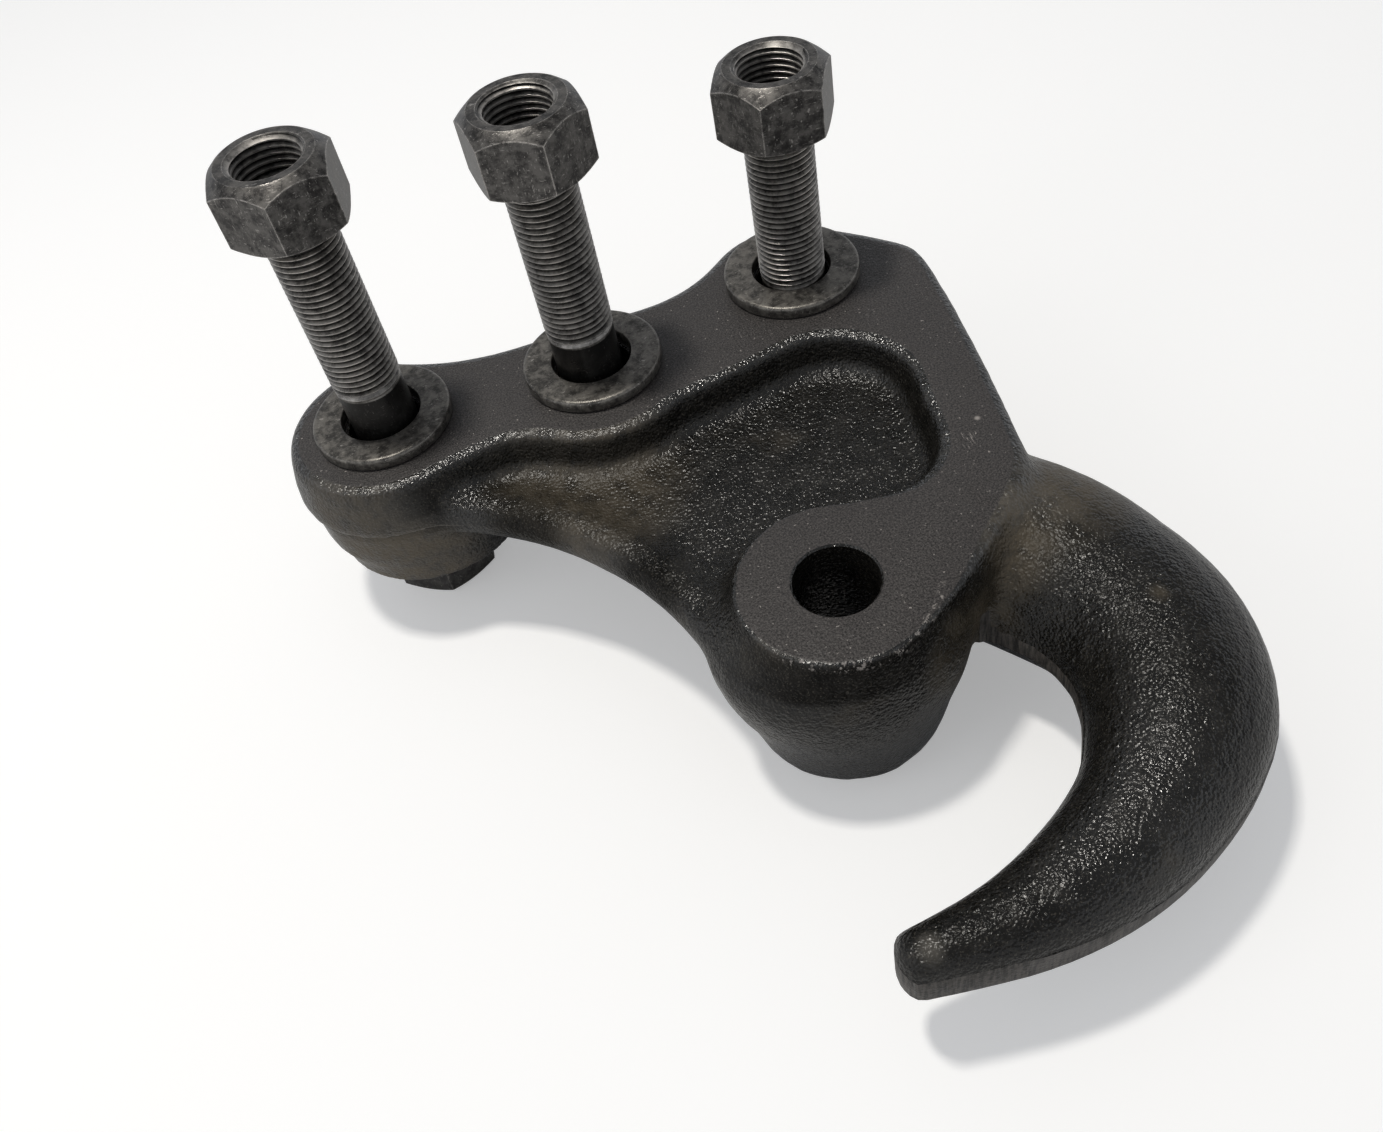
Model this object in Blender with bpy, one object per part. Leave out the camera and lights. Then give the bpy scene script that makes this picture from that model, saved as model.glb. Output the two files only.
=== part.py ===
"""Recovery tow hook: a drop-forged hook and mounting plate, with its three bolts, nuts and washers.

The forging is made the way the real one is. Tapered lofts stand for the two die halves, one skin is
drawn over them so that every inside corner becomes a forging radius, and the skin is then machined:
the mounting face is milled flat, the four bolt holes are drilled and the bolt seats are faced.
The hook itself is a loft through stations along its curve, with the trimmed flash land on its sides.
"""

import math

import bmesh
import bpy
from mathutils import Matrix, Vector

MM = 0.001

# Every size below is in millimetres. Plan positions are measured from the third bolt hole,
# heights from the mounting face, which looks up.
BOLT_FOOT = -50.0  # the bolt heads stand on the floor
DATUM = Vector((41.65, 71.1, -BOLT_FOOT))  # the third hole on the mounting face, in the part's own frame
GAP = 0.3  # clearance kept between pieces that touch

# Bolt holes
HOLE_RADIUS = 8.85
HOLE_SPAN = 104.35  # between the two outer bolts
HOLE_STEP = 53.75  # from the third bolt to the second
HOLE_OFFSET = 6.45  # how far the second bolt stands in from the line of the other two
PLATE_DEPTH = 91.6  # from that line to the fourth hole
PLATE_INSET = 29.0
HOLE_1 = Vector((-HOLE_SPAN, 0.0))
HOLE_2 = Vector((-HOLE_STEP, -HOLE_OFFSET))
HOLE_3 = Vector((0.0, 0.0))
HOLE_4 = Vector((-PLATE_INSET, -PLATE_DEPTH))

# Mounting rim: the raised flat band that joins the four bosses
RIM_1 = 23.4
RIM_2 = 18.0
RIM_3 = 21.2
RIM_4 = 20.6
POCKET_RIM_2 = 24.2
WAIST_1_2 = 4.1  # how far the far edge draws in between the bosses
WAIST_2_3 = 4.6
SHOULDER = Vector((19.0, -8.2))
SHOULDER_RADIUS = 12.6
ELBOW = HOLE_4 + Vector((38.6, 18.0))
ELBOW_RADIUS = 11.6
STRIP_BOW = 1.0
FRONT_BOW = 2.2
POCKET_HEAD = Vector((-9.5, -43.0))
POCKET_HEAD_RADIUS = 20.6
POCKET_HEEL = HOLE_4 + Vector((21.1, 31.6))
POCKET_HEEL_RADIUS = 15.7
POCKET_NECK = -19.6  # the pocket's edge between the first two bosses, measured from hole 1

# Die halves
MACHINING = 1.5  # stock milled off the mounting face
PARTING = -12.4
TOP_DRAFT = 2.9
STRIP_LINE = 14.0  # to the right of this the side stands nearly upright
STRIP_UPRIGHT = 2.6
LOWER_STEP = 1.6  # the lower die half stands in by this much
RIM_BOTTOM = -26.0
RIM_BOTTOM_DRAFT = 0.6
WEB_TOP = -9.2
WEB_BOTTOM = -17.5
WEB_EDGE_CENTRE = Vector((HOLE_1.x - 36.85, HOLE_4.y - 9.5))
WEB_EDGE_RADIUS = 84.4
WEB_EDGE_DRAFT = 2.0
RIDGE_RADIUS = 3.4
RIDGE_INSET = 6.2
RIDGE_TOP = -7.2

# Bosses under the plate
BOLT_SEAT = -33.4
BOSS_1_CENTRE = HOLE_1 + Vector((2.45, 1.0))
BOSS_1_FOOT = 24.4
BOSS_1_ROOT = 25.4
BOSS_FOOT = 20.6
BOSS_ROOT = 22.8
PLAIN_SEAT = -42.7
SEAT_FRONT = -38.0  # the three bolt seats are faced behind this line
PLAIN_BOSS_CENTRE = HOLE_4 + Vector((-0.2, 0.0))
# height, half width across, half width towards the front
PLAIN_BOSS_RINGS = (
    (-3.0, 21.8, 21.4),
    (-13.0, 28.8, 23.4),
    (-18.0, 28.4, 24.0),
    (-24.0, 27.0, 24.0),
    (-30.0, 24.4, 23.2),
    (-36.0, 22.9, 22.3),
    (PLAIN_SEAT, 21.0, 21.0),
)

# Hook: stations along its curve, each x and y from the fourth hole, half width and half height of
# the trimmed land
HOOK_LEVEL = -24.0
HOOK_STATIONS = (
    (31.0, 21.4, 18.1, 1.75),
    (37.1, 14.8, 20.8, 1.75),
    (43.4, 6.7, 21.7, 1.75),
    (49.1, -2.4, 21.5, 1.75),
    (53.45, -12.4, 20.65, 1.75),
    (55.65, -22.9, 19.65, 1.75),
    (54.9, -33.6, 19.0, 1.75),
    (50.7, -43.4, 18.1, 1.75),
    (43.7, -51.55, 16.2, 1.75),
    (35.3, -58.15, 14.0, 1.75),
    (25.7, -62.9, 12.45, 1.95),
    (15.5, -66.05, 10.7, 2.4),
    (4.9, -67.75, 8.65, 2.95),
    (-6.1, -68.05, 6.6, 3.45),
    (-16.6, -67.5, 5.1, 3.6),
)
TIP_LENGTH = 3.4
HOOK_RISE = 0.9  # height of the rounded top, for each unit of half width
HOOK_FALL = 0.78
LAND_LEDGE = 2.0  # the lower half stands in from the land by this much
NECK_END = 0.44  # share of the hook's length that the skin covers
HOOK_START = 0.2  # where the finished hook begins inside the neck
HOOK_FADE = 0.16  # the share over which one takes over from the other
NECK_OVER = 1.0
NECK_UNDER = 0.94
ROOT_CENTRE = Vector((HOLE_4.x + 34.0, HOLE_4.y + 22.6, HOOK_LEVEL - 1.0))
ROOT_RADII = Vector((24.0, 18.0, 14.5))

# Skin and machining
SKIN_CELL = 1.7
MILL_REACH = 300.0  # the milling cuts run well past the forging
SKIN_ROUNDS = 9
SKIN_TRIANGLES = 5000

# Bolts: M16, 1.5 pitch. Each stands a little off the middle of its hole
BOLT_1 = HOLE_1 + Vector((0.35, 0.15))
BOLT_2 = HOLE_2 + Vector((-0.75, 0.4))
BOLT_3 = HOLE_3 + Vector((0.4, 0.3))
THREAD_RADIUS = 7.5
SHANK_RADIUS = 7.75
HEAD_FLATS = 24.0
HEAD_HEIGHT = 10.0
HEAD_TURN = -36.0
BOLT_END_1 = 61.0
BOLT_END_2 = 58.6
BOLT_END_3 = 45.6
THREAD_START_1 = 13.6
THREAD_START_2 = 12.2
THREAD_START_3 = 2.0
BOLT_POINT = 1.2

# Nuts
NUT_FLATS = 24.0
NUT_HEIGHT = 15.2
NUT_BORE = THREAD_RADIUS + GAP
NUT_MOUTH = 8.1
NUT_FACE = 10.5
NUT_CONE_DROP = 3.1
NUT_FOOT = 11.6
NUT_FOOT_DROP = 1.2
NUT_TURN_1 = 18.7
NUT_TURN_2 = 35.0
NUT_TURN_3 = 58.5
NUT_OVERHANG = 10.5  # how far the nut stands past the bolt's end

# Washers
WASHER_RADIUS = 16.5
WASHER_BORE = 9.55
WASHER_THICKNESS = 3.0
WASHER_ROLL = 0.7

# Facets
ROUND = 48
FINE = 54


def arc(centre, radius, start, end, pieces):
    """Points along a circle from one angle in degrees to another, either way round."""
    points = []
    for i in range(pieces + 1):
        angle = math.radians(start + (end - start) * i / pieces)
        points.append(centre + radius * Vector((math.cos(angle), math.sin(angle))))
    return points


def bow(start, end, rise, pieces):
    """Points inside a shallow curve from start to end that stands off its chord by rise, to the left."""
    along = end - start
    side = Vector((-along.y, along.x)).normalized()
    points = []
    for i in range(1, pieces):
        t = i / pieces
        points.append(start + along * t + side * rise * 4.0 * t * (1.0 - t))
    return points


def joined(*stretches):
    """One outline from arcs, with a bow between neighbours wherever a number stands between them."""
    outline = []
    for i, stretch in enumerate(stretches):
        if isinstance(stretch, list):
            outline += stretch
            continue
        following = stretches[(i + 1) % len(stretches)]
        outline += bow(stretches[i - 1][-1], following[0], stretch, 8)
    return outline


def grown(outline, distance, upright=0.0):
    """The same outline moved outwards, by less along the strip's outer side, or inwards if negative."""
    count = len(outline)
    area = sum(outline[i - 1].cross(outline[i]) for i in range(count))
    turn = 1.0 if area > 0 else -1.0
    moved = []
    for i in range(count):
        along = (outline[(i + 1) % count] - outline[i - 1]).normalized()
        out = distance - (upright if outline[i].x > STRIP_LINE else 0.0)
        moved.append(outline[i] + Vector((along.y, -along.x)) * out * turn)
    return moved


def rim_outline():
    """The mounting face's outline, clockwise from the front of the first boss."""
    pocket_front = HOLE_1 + Vector((24.0, POCKET_NECK))
    return joined(
        arc(HOLE_1, RIM_1, 282.0, 84.0, 18),
        -WAIST_1_2,
        arc(HOLE_2, RIM_2, 112.0, 62.0, 5),
        -WAIST_2_3,
        arc(HOLE_3, RIM_3, 126.0, 52.0, 8),
        0.3,
        arc(SHOULDER, SHOULDER_RADIUS, 48.0, -4.0, 5),
        STRIP_BOW,
        arc(ELBOW, ELBOW_RADIUS, -14.0, -56.0, 5),
        FRONT_BOW,
        arc(HOLE_4, RIM_4, -62.0, -272.0, 18),
        -0.6,
        arc(POCKET_HEEL, POCKET_HEEL_RADIUS, -96.0, -8.0, 8),
        0.4,
        arc(POCKET_HEAD, POCKET_HEAD_RADIUS, -4.0, 92.0, 8),
        0.6,
        arc(HOLE_2, POCKET_RIM_2, -56.0, -122.0, 7),
        -1.2,
        [pocket_front],
        -0.5,
    )


def web_outline():
    """The thin web that fills the rim, with its front edge on one large arc."""
    front = arc(WEB_EDGE_CENTRE, WEB_EDGE_RADIUS, 66.0, 3.0, 22)
    return front + [HOLE_4, ELBOW, SHOULDER + Vector((-5.0, -31.8)), HOLE_3, HOLE_2, HOLE_1]


def ring(bm, outline, height):
    """One loop of vertices at a height."""
    return [bm.verts.new(Vector((p.x, p.y, height)) * MM) for p in outline]


def skin_rings(bm, rings):
    """Side faces between neighbouring rings and a face over each end."""
    for lower, upper in zip(rings, rings[1:]):
        count = len(lower)
        for i in range(count):
            j = (i + 1) % count
            bm.faces.new((lower[i], lower[j], upper[j], upper[i]))
    bm.faces.new(rings[0])
    bm.faces.new(rings[-1])


def loft(name, sections):
    """A closed solid through outlines at heights: a list of (height, outline)."""
    bm = bmesh.new()
    skin_rings(bm, [ring(bm, outline, height) for height, outline in sections])
    return finished(name, bm)


def finished(name, bm):
    """An object from a bmesh, with its faces turned outwards."""
    bmesh.ops.recalc_face_normals(bm, faces=bm.faces)
    mesh = bpy.data.meshes.new(name)
    bm.to_mesh(mesh)
    bm.free()
    made = bpy.data.objects.new(name, mesh)
    bpy.context.scene.collection.objects.link(made)
    return made


def turned(name, profile, centre, segments=ROUND):
    """A solid of revolution about the upright axis through a plan point, from (radius, height) points."""
    bm = bmesh.new()
    points = [bm.verts.new(Vector((radius, 0.0, height)) * MM) for radius, height in profile]
    edges = [bm.edges.new(pair) for pair in zip(points, points[1:])]
    if profile[0][0] > 0.0 and profile[-1][0] > 0.0:
        edges.append(bm.edges.new((points[-1], points[0])))
    bmesh.ops.spin(
        bm,
        geom=points + edges,
        cent=(0.0, 0.0, 0.0),
        axis=(0.0, 0.0, 1.0),
        angle=math.tau,
        steps=segments,
        use_merge=True,
        use_duplicate=False,
    )
    bmesh.ops.remove_doubles(bm, verts=bm.verts, dist=0.0001 * MM)
    bmesh.ops.translate(bm, verts=bm.verts, vec=Vector((centre.x, centre.y, 0.0)) * MM)
    return finished(name, bm)


def hexagon(name, flats, bottom, top, centre, turn):
    """A plain six-sided prism, measured across its flats, with a corner at the turn in degrees."""
    corners = [centre + Vector((math.cos(a), math.sin(a))) * flats / math.sqrt(3.0) for a in sixths(turn)]
    return loft(name, [(bottom, corners), (top, corners)])


def sixths(turn):
    """The six corner angles of a hexagon."""
    return [math.radians(turn + 60.0 * k) for k in range(6)]


def cut_with(target, tool, operation):
    """A Boolean whose tool is used up."""
    step = target.modifiers.new(operation.lower(), "BOOLEAN")
    step.operation = operation
    step.solver = "EXACT"
    step.object = tool
    settle(target)
    bpy.data.objects.remove(tool)


def settle(target):
    """The object's modifiers become its mesh."""
    graph = bpy.context.evaluated_depsgraph_get()
    result = bpy.data.meshes.new_from_object(target.evaluated_get(graph))
    target.modifiers.clear()
    target.data = result


def merged(name, pieces):
    """Overlapping solids gathered into one mesh, for the skin to cover."""
    bm = bmesh.new()
    for piece in pieces:
        bm.from_mesh(piece.data)
        bpy.data.objects.remove(piece)
    mesh = bpy.data.meshes.new(name)
    bm.to_mesh(mesh)
    bm.free()
    made = bpy.data.objects.new(name, mesh)
    bpy.context.scene.collection.objects.link(made)
    return made


def along_hook(share):
    """The hook's station at a share of its length: place, half width and half land height."""
    places = [HOLE_4 + Vector((x, y)) for x, y, _, _ in HOOK_STATIONS]
    run = [0.0]
    for before, after in zip(places, places[1:]):
        run.append(run[-1] + (after - before).length)
    want = share * run[-1]
    last = len(run) - 2
    leg = min(last, max(i for i in range(last + 1) if run[i] <= want + 1e-9))
    t = (want - run[leg]) / (run[leg + 1] - run[leg])

    def smooth(values):
        before = values[leg - 1] if leg > 0 else 2.0 * values[0] - values[1]
        after = values[leg + 2] if leg < last else 2.0 * values[-1] - values[-2]
        here, there = values[leg], values[leg + 1]
        return 0.5 * (
            2.0 * here
            + (there - before) * t
            + (2.0 * before - 5.0 * here + 4.0 * there - after) * t * t
            + (3.0 * here - before - 3.0 * there + after) * t * t * t
        )

    x, y, half_width, land = [smooth([station[k] for station in HOOK_STATIONS]) for k in range(4)]
    return [x + HOLE_4.x, y + HOLE_4.y, half_width, land]


def hook_section(half_width, land, pieces):
    """The hook's section: a rounded top, the upright land on both sides and a narrower round below."""
    low = max(half_width - LAND_LEDGE, 0.5 * half_width)
    points = []
    for i in range(pieces + 1):
        angle = math.pi * i / pieces
        points.append((half_width * math.cos(angle), land + HOOK_RISE * half_width * math.sin(angle)))
    points.append((-half_width, -land))
    for i in range(pieces + 1):
        angle = math.pi + math.pi * i / pieces
        points.append((low * math.cos(angle), -land - 0.3 + HOOK_FALL * half_width * math.sin(angle)))
    points.append((half_width, -land))
    return points


def hook_loft(name, first, last, steps, fit_from, fit_to, pieces):
    """The hook between two shares of its length; the end at its full length gets the blunt tip."""
    rows = []
    for i in range(steps + 1):
        share = first + (last - first) * i / steps
        x, y, half_width, land = along_hook(share)
        ahead = Vector(along_hook(min(1.0, share + 0.01))[:2])
        behind = Vector(along_hook(max(0.0, share - 0.01))[:2])
        fade = min(1.0, max(0.0, (share - HOOK_START) / HOOK_FADE))
        fit = fit_from + (fit_to - fit_from) * fade
        rows.append((Vector((x, y)), (ahead - behind).normalized(), half_width, land, fit))
    if last >= 1.0:
        place, along, half_width, land, fit = rows[-1]
        for degrees in (26.0, 48.0, 66.0, 80.0):
            angle = math.radians(degrees)
            spot = place + along * TIP_LENGTH * math.sin(angle)
            rows.append((spot, along, half_width * math.cos(angle), land, fit))
    bm = bmesh.new()
    rings = []
    for place, along, half_width, land, fit in rows:
        side = Vector((-along.y, along.x))
        loop = []
        for across, up in hook_section(half_width, land, pieces):
            spot = place + side * across * fit
            loop.append(bm.verts.new(Vector((spot.x, spot.y, HOOK_LEVEL + up * fit)) * MM))
        rings.append(loop)
    skin_rings(bm, rings)
    return finished(name, bm)


def ridge():
    """The soft bead along the web's front edge."""
    radius = WEB_EDGE_RADIUS + RIDGE_INSET
    bm = bmesh.new()
    rings = []
    for place in arc(Vector((0.0, 0.0)), 1.0, 62.0, 6.0, 18):
        loop = []
        for i in range(12):
            angle = math.tau * i / 12
            spot = WEB_EDGE_CENTRE + place * (radius + 1.5 * RIDGE_RADIUS * math.cos(angle))
            height = RIDGE_TOP - RIDGE_RADIUS + RIDGE_RADIUS * math.sin(angle)
            loop.append(bm.verts.new(Vector((spot.x, spot.y, height)) * MM))
        rings.append(loop)
    skin_rings(bm, rings)
    return finished("ridge", bm)


def root():
    """The rounded mass where the hook leaves the plate."""
    bm = bmesh.new()
    bmesh.ops.create_uvsphere(bm, u_segments=24, v_segments=12, radius=1.0)
    bmesh.ops.scale(bm, vec=ROOT_RADII * MM, verts=bm.verts)
    bmesh.ops.translate(bm, vec=ROOT_CENTRE * MM, verts=bm.verts)
    return finished("root", bm)


def oval(centre, across, towards, pieces=36):
    """An oval outline."""
    return [
        centre + Vector((across * math.cos(math.tau * i / pieces), towards * math.sin(math.tau * i / pieces)))
        for i in range(pieces)
    ]


def forging_blank():
    """Every forged form, still with its machining stock, gathered for the skin."""
    rim = rim_outline()
    web = web_outline()
    lower_top = PARTING + 0.4
    pieces = [
        loft("upper_rim", [(MACHINING, rim), (PARTING, grown(rim, TOP_DRAFT, STRIP_UPRIGHT))]),
        loft(
            "lower_rim",
            [
                (lower_top, grown(rim, TOP_DRAFT - LOWER_STEP, STRIP_UPRIGHT)),
                (RIM_BOTTOM, grown(rim, RIM_BOTTOM_DRAFT)),
            ],
        ),
        loft(
            "web",
            [
                (WEB_TOP, grown(web, -WEB_EDGE_DRAFT)),
                (PARTING, web),
                (WEB_BOTTOM, grown(web, -WEB_EDGE_DRAFT)),
            ],
        ),
        loft(
            "plain_boss",
            [(MACHINING, oval(HOLE_4, RIM_4, RIM_4))]
            + [(height, oval(PLAIN_BOSS_CENTRE, across, towards)) for height, across, towards in PLAIN_BOSS_RINGS]
            + [(PLAIN_SEAT - MACHINING, oval(PLAIN_BOSS_CENTRE, 20.8, 20.8))],
        ),
        ridge(),
        root(),
        hook_loft("neck", 0.0, NECK_END, 18, NECK_OVER, NECK_UNDER, 16),
    ]
    bosses = (
        (BOSS_1_CENTRE, BOSS_1_ROOT, BOSS_1_FOOT),
        (HOLE_2, BOSS_ROOT, BOSS_FOOT),
        (HOLE_3, BOSS_ROOT, BOSS_FOOT),
    )
    bottom = BOLT_SEAT - MACHINING
    for centre, top_radius, foot_radius in bosses:
        profile = [(0.0, lower_top), (top_radius, lower_top), (foot_radius, bottom), (0.0, bottom)]
        pieces.append(turned("boss", profile, centre, 36))
    return merged("tow_hook_body", pieces)


def draw_skin(body):
    """One smooth skin over the blank, in as few facets as its curves need."""
    cover = body.modifiers.new("skin", "REMESH")
    cover.mode = "VOXEL"
    cover.voxel_size = SKIN_CELL * MM
    even = body.modifiers.new("radii", "SMOOTH")
    even.factor = 0.5
    even.iterations = int(SKIN_ROUNDS)
    settle(body)
    fewer = body.modifiers.new("facets", "DECIMATE")
    fewer.ratio = SKIN_TRIANGLES / (2.0 * len(body.data.polygons))
    settle(body)


def machine(body):
    """Mill the mounting face, face the seats and drill the holes."""
    wide = oval(HOLE_4, MILL_REACH, MILL_REACH, 4)
    corners = ((-MILL_REACH, SEAT_FRONT), (MILL_REACH, SEAT_FRONT), (MILL_REACH, MILL_REACH), (-MILL_REACH, MILL_REACH))
    row = [Vector(corner) for corner in corners]
    facers = [
        loft("mill", [(0.0, wide), (20.0, wide)]),
        loft("seats", [(BOLT_SEAT - 30.0, row), (BOLT_SEAT, row)]),
        loft("plain_seat", [(PLAIN_SEAT - 20.0, oval(HOLE_4, 26.0, 26.0)), (PLAIN_SEAT, oval(HOLE_4, 26.0, 26.0))]),
    ]
    cut_with(body, merged("facers", facers), "DIFFERENCE")
    profile = [(0.0, -60.0), (HOLE_RADIUS, -60.0), (HOLE_RADIUS, 10.0), (0.0, 10.0)]
    drills = [turned("drill", profile, hole) for hole in (HOLE_1, HOLE_2, HOLE_3, HOLE_4)]
    cut_with(body, merged("drills", drills), "DIFFERENCE")


def tow_hook_body(materials):
    """The forging: skin, hook and machining."""
    body = forging_blank()
    draw_skin(body)
    cut_with(body, hook_loft("hook", HOOK_START, 1.0, 34, NECK_UNDER, 1.0, 12), "UNION")
    machine(body)
    smooth(body, 40.0)
    body.data.materials.clear()
    body.data.materials.append(materials["forging"])
    return body


def smooth(target, angle):
    """Smooth shading with sharp edges past an angle in degrees."""
    target.data.shade_smooth()
    target.data.set_sharp_from_angle(angle=math.radians(angle))


def washer(name, hole, material):
    """A flat washer with a rolled outer edge, lying on the mounting face."""
    low = GAP
    high = GAP + WASHER_THICKNESS
    profile = [
        (WASHER_BORE, low),
        (WASHER_RADIUS, low),
        (WASHER_RADIUS, high - WASHER_ROLL),
        (WASHER_RADIUS - WASHER_ROLL, high),
        (WASHER_BORE, high),
    ]
    made = turned(name, profile, hole)
    smooth(made, 40.0)
    made.data.materials.append(material)
    return made


def bolt(name, hole, thread_start, end, material):
    """A hex bolt standing up through its boss on its head: plain shank, then the threaded length."""
    head_bottom = BOLT_FOOT
    seat = head_bottom + HEAD_HEIGHT
    shaft = [
        (0.0, head_bottom + 1.0),
        (SHANK_RADIUS, head_bottom + 1.0),
        (SHANK_RADIUS, thread_start - 1.0),
        (THREAD_RADIUS, thread_start),
        (THREAD_RADIUS, end - BOLT_POINT),
        (THREAD_RADIUS - BOLT_POINT, end),
        (0.0, end),
    ]
    made = turned(name, shaft, hole)
    head = hexagon("head", HEAD_FLATS, head_bottom, seat, hole, HEAD_TURN)
    corner = HEAD_FLATS / math.sqrt(3.0)
    crown = [
        (0.0, head_bottom),
        (HEAD_FLATS / 2.0 - 0.6, head_bottom),
        (corner + 0.3, head_bottom + 1.5),
        (corner + 0.3, seat - 0.01),
        (0.0, seat - 0.01),
    ]
    cut_with(head, turned("crown", crown, hole), "INTERSECT")
    cut_with(made, head, "UNION")
    smooth(made, 40.0)
    made.data.materials.clear()
    made.data.materials.append(material)
    return made


def nut(name, hole, bolt_end, turn, material):
    """A tall hex nut run onto the bolt's end, with its coned top and the bore's wide mouth."""
    top = bolt_end + NUT_OVERHANG
    bottom = top - NUT_HEIGHT
    corner = NUT_FLATS / math.sqrt(3.0) + 0.2
    made = hexagon(name, NUT_FLATS, bottom - 1.0, top + 1.0, hole, turn)
    cone = [
        (0.0, bottom),
        (NUT_FOOT, bottom),
        (corner, bottom + NUT_FOOT_DROP * (corner - NUT_FOOT) / 2.0),
        (corner, top - NUT_CONE_DROP * (corner - NUT_FACE) / 4.0),
        (NUT_FACE, top),
        (0.0, top),
    ]
    cut_with(made, turned("cone", cone, hole, FINE), "INTERSECT")
    mouth = NUT_MOUTH - NUT_BORE
    bore = [
        (0.0, bottom - 2.0),
        (NUT_MOUTH + 2.0, bottom - 2.0),
        (NUT_MOUTH, bottom),
        (NUT_BORE, bottom + mouth),
        (NUT_BORE, top - mouth),
        (NUT_MOUTH, top),
        (NUT_MOUTH + 2.0, top + 2.0),
        (0.0, top + 2.0),
    ]
    cut_with(made, turned("bore", bore, hole), "DIFFERENCE")
    smooth(made, 30.0)
    made.data.materials.clear()
    made.data.materials.append(material)
    return made


def plain_material(name, colour, roughness, metallic):
    """A Principled material of one colour."""
    made = bpy.data.materials.new(name)
    made.use_nodes = True
    shader = made.node_tree.nodes["Principled BSDF"]
    shader.inputs["Base Color"].default_value = (*colour, 1.0)
    shader.inputs["Roughness"].default_value = roughness
    shader.inputs["Metallic"].default_value = metallic
    return made


def main():
    for old in list(bpy.data.objects):
        bpy.data.objects.remove(old)
    materials = {
        "forging": plain_material("forging", (0.035, 0.033, 0.031), 0.45, 0.6),
        "bolt": plain_material("bolt_steel", (0.09, 0.085, 0.08), 0.42, 0.8),
        "nut": plain_material("nut_steel", (0.075, 0.072, 0.068), 0.45, 0.8),
        "washer": plain_material("washer_steel", (0.085, 0.08, 0.07), 0.5, 0.7),
    }
    pieces = [tow_hook_body(materials)]
    stacks = (
        (1, HOLE_1, BOLT_1, THREAD_START_1, BOLT_END_1, NUT_TURN_1),
        (2, HOLE_2, BOLT_2, THREAD_START_2, BOLT_END_2, NUT_TURN_2),
        (3, HOLE_3, BOLT_3, THREAD_START_3, BOLT_END_3, NUT_TURN_3),
    )
    for number, hole, axis, thread_start, end, turn in stacks:
        pieces.append(washer(f"washer_{number}", hole, materials["washer"]))
        pieces.append(bolt(f"bolt_{number}", axis, thread_start, end, materials["bolt"]))
        pieces.append(nut(f"nut_{number}", axis, end, turn, materials["nut"]))
    datum = bpy.data.objects.new("third_hole", None)
    datum.location = DATUM * MM
    bpy.context.scene.collection.objects.link(datum)
    for piece in pieces:
        piece.parent = datum


main()
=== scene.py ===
# %% [markdown]
# # Recovery tow hook
# This object is one drop forging, a mounting plate that runs out into a hook, with three loose bolts
# standing up through it, each with its washer and nut. The CAD model already gives every size. This
# lesson dresses it: the forging gets its skin and radii back, the fasteners get real threads, and each
# finish is painted with nodes. The CAD solids are loaded first, and every piece is built around them.

import math

import bmesh
import bpy
import numpy as np
from mathutils import Matrix, Vector


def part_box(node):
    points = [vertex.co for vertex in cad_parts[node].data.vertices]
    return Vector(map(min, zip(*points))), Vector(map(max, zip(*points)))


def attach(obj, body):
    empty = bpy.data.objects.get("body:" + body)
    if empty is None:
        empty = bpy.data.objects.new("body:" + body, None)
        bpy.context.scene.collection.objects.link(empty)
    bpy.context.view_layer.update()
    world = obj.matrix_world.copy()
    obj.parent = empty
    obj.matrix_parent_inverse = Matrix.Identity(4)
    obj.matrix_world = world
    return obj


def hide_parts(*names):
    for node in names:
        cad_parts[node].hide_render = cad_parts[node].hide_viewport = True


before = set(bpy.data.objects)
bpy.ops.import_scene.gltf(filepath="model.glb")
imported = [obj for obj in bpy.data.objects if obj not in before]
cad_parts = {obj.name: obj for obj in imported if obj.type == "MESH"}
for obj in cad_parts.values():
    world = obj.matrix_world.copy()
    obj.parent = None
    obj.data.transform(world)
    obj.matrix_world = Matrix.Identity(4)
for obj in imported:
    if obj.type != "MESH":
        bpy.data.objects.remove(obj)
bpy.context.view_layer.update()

# %% [markdown]
# Places are measured from the CAD nodes. The washers lie on the mounting face with a hair of clearance,
# so their boxes give both the face's height and the middle of each bolt hole. A nut's box gives the
# middle of its bolt, which stands a little off the middle of its hole. What no box shows, such as the
# fourth hole's place, repeats the CAD model's own size.

# %% Measure the frame
MM = 0.001
CLEARANCE = 0.3 * MM
PARTING_DEPTH = 24.0 * MM
FOURTH_HOLE = (-29.0, -91.6)  # in millimetres from the third
NUMBERS = (1, 2, 3)


def middle(node):
    """The middle of a CAD node's box, seen from above."""
    low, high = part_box(node)
    return Vector(((low.x + high.x) / 2.0, (low.y + high.y) / 2.0, 0.0))


holes = [middle(f"washer_{k}") for k in NUMBERS]
axes = [middle(f"nut_{k}") for k in NUMBERS]
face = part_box("washer_3")[0].z - CLEARANCE
datum = holes[2] + Vector((0.0, 0.0, face))
bare_hole = holes[2] + Vector((*FOURTH_HOLE, 0.0)) * MM
parting = face - PARTING_DEPTH
hole_places = [tuple(round(v * 1000, 1) for v in hole) for hole in holes]
print("mounting face at", round(face * 1000, 2), "mm, holes at", hole_places)

# %% [markdown]
# ## The forging's skin
# A forging has no sharp corner except where a cutter has been. Steel flows into the die, so every edge
# has a radius, and scale leaves the surface faintly pebbled. The CAD solid is faceted, to stay light. A
# copy of it is remeshed into small even squares and relaxed, which rounds the facets away. The top gets
# a little extra stock first, and the bolt holes are plugged, because both are machined afterwards, as
# in the forge shop.

# %% Copy the CAD forging, plug its holes and add machining stock
STOCK = 0.08 * MM
HOLE_RADIUS = 8.85
WELD = 0.001 * MM
TOUCH = 0.02 * MM  # closer than this counts as touching
BORE_SLACK = 0.03 * MM


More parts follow.
